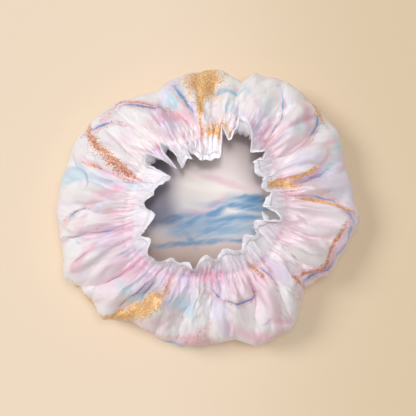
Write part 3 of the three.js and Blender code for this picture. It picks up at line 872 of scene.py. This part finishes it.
def thread(name, path, node):
    """A closed thread along flat places, laid on the gathered cloth."""
    curve = bpy.data.curves.new(name, "CURVE")
    curve.dimensions = "3D"
    curve.bevel_depth = THREAD_RADIUS * MM
    curve.bevel_resolution = 1
    line = curve.splines.new("POLY")
    line.points.add(len(path) - 1)
    line.points.foreach_set("co", np.c_[on_cloth(path), np.ones(len(path))].ravel())
    line.use_cyclic_u = True
    drawn = bpy.data.objects.new(name, curve)
    mesh = bpy.data.meshes.new_from_object(drawn)
    bpy.data.objects.remove(drawn)
    mesh.name = name
    nearest = np.repeat(path, len(mesh.vertices) // len(path), axis=0)
    mesh.attributes.new("flat", "FLOAT_VECTOR", "POINT").data.foreach_set("vector", nearest.ravel())
    mesh.polygons.foreach_set("use_smooth", [True] * len(mesh.polygons))
    mesh.materials.append(spun_thread)
    piece = bpy.data.objects.new(name, mesh)
    bpy.context.scene.collection.objects.link(piece)
    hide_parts(node)
    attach(piece, "hem")
    return piece


def lock_stitches(run_mm, height, dip):
    """Flat places along a row of stitches, four to a stitch, of which one is in the cloth."""
    count = round(FULL_TURN * run_mm / STITCH)
    turns = (np.arange(count)[:, None] + np.array([0, 0.12, 0.5, 0.88])) / count * FULL_TURN
    heights = np.tile([dip, height, height * 1.08, height], count)
    turns = turns.ravel()
    return np.c_[run_mm * np.cos(turns), run_mm * np.sin(turns), heights]


# Each seam: how far it is from the circle's middle, and its heights outside and inside.
SEAMS = {
    "channel_upper_seam": (ELASTIC + 5, 0.4, -0.7),
    "channel_lower_seam": (ELASTIC - 5, 0.4, -0.7),
    "binding_seam": (EDGE - 3, 0.58, -0.6),
}
for seam, (run_mm, outside, inside) in SEAMS.items():
    needle = lock_stitches(run_mm, outside, 0.1)
    bobbin = lock_stitches(run_mm, inside, -0.3)
    thread(f"{seam}_needle_stitches", needle, f"{seam}_needle_thread")
    thread(f"{seam}_bobbin_stitches", bobbin, f"{seam}_bobbin_thread")

# Elastic join: a zigzag of thread that holds the elastic's two lapped ends together,
# sewn before the elastic goes into the channel.
ZIGS, ZIG_REACH, ZIG_STEP, ZIG_HEIGHT = 24, 2.2, 0.9, -0.8
zig = np.tile([-ZIG_REACH, ZIG_REACH], ZIGS // 2)
tack_turns = (np.arange(ZIGS) - ZIGS // 2) * ZIG_STEP / ELASTIC
tack_path = np.c_[
    (ELASTIC + zig) * np.cos(tack_turns), (ELASTIC + zig) * np.sin(tack_turns),
    np.full(ZIGS, ZIG_HEIGHT),
]
thread("elastic_join_zigzag", tack_path, "elastic_join_tack")

# Floor: a plain cream table top, with painted shade: it is painted darker towards the
# right, where the room is darker.
FLOOR_SIZE = 2
floor_bm = bmesh.new()
bmesh.ops.create_grid(floor_bm, x_segments=1, y_segments=1, size=FLOOR_SIZE)
floor_mesh = bpy.data.meshes.new("floor")
floor_bm.to_mesh(floor_mesh)
floor_bm.free()
floor = bpy.data.objects.new("floor", floor_mesh)
bpy.context.scene.collection.objects.link(floor)
table_top = bpy.data.materials.new("cream table")
table_top.use_nodes = True
shader = table_top.node_tree.nodes["Principled BSDF"]
shader.inputs["Roughness"].default_value = 0.8
coordinates = table_top.node_tree.nodes.new("ShaderNodeTexCoord")
place = Mark(table_top.node_tree, coordinates.outputs["Object"])
across, up, _ = place.parts()
# Painted shade, darker towards the right.
painted_shade_right = (across + abs(up) * 0.25).steps(-0.02, 0.24)
finish(shader, place, plain(place, paint(232, 213, 189)).mix(paint(215, 194, 163), painted_shade_right * 0.9))
floor_mesh.materials.append(table_top)

# Light: a large soft lamp at the upper left, as a window would be, and a fainter one from
# the ceiling, in an even pale room. A small spot over the mouth lights the inside.
room = bpy.data.worlds.new("room")
room.use_nodes = True
room.node_tree.nodes["Background"].inputs["Color"].default_value = (1, 0.965, 0.94, 1)
room.node_tree.nodes["Background"].inputs["Strength"].default_value = 0.34
bpy.context.scene.world = room
for name, energy, angle, towards in (
    ("window", 1.35, 0.45, (-0.72, 0.22, 0.8)), ("ceiling", 1.26, 0.5, (0.08, 0.0, 1)),
):
    lamp = bpy.data.lights.new(name, "SUN")
    lamp.energy, lamp.angle = energy, angle
    hung = bpy.data.objects.new(name, lamp)
    hung.rotation_euler = Vector(towards).to_track_quat("Z", "Y").to_euler()
    bpy.context.scene.collection.objects.link(hung)
overhead = bpy.data.lights.new("overhead", "SPOT")
overhead.energy = 14.5
overhead.spot_size, overhead.spot_blend = 0.15, 0.5
overhead.shadow_soft_size = 0.05
overhead_lamp = bpy.data.objects.new("overhead", overhead)
overhead_lamp.location = (0, 0.012, 1.0)
bpy.context.scene.collection.objects.link(overhead_lamp)

# Camera: nearly straight above, as in the photograph, a little over a metre off, and
# pointed at the middle of the cap.
VIEW_DISTANCE, VIEW_ELEVATION, VIEW_WIDTH = 1.1, math.radians(83), 0.3956
AIM_HEIGHT, SENSOR_WIDTH = 0.02, 36
lens = bpy.data.cameras.new("camera")
lens.sensor_width = SENSOR_WIDTH
lens.lens = SENSOR_WIDTH * VIEW_DISTANCE / VIEW_WIDTH
camera = bpy.data.objects.new("camera", lens)
towards = Vector((0, -math.cos(VIEW_ELEVATION), math.sin(VIEW_ELEVATION)))
camera.location = towards * VIEW_DISTANCE + Vector((0, 0, AIM_HEIGHT))
camera.rotation_euler = towards.to_track_quat("Z", "Y").to_euler()
bpy.context.scene.collection.objects.link(camera)
bpy.context.scene.camera = camera
bpy.context.scene.view_settings.view_transform = "Standard"
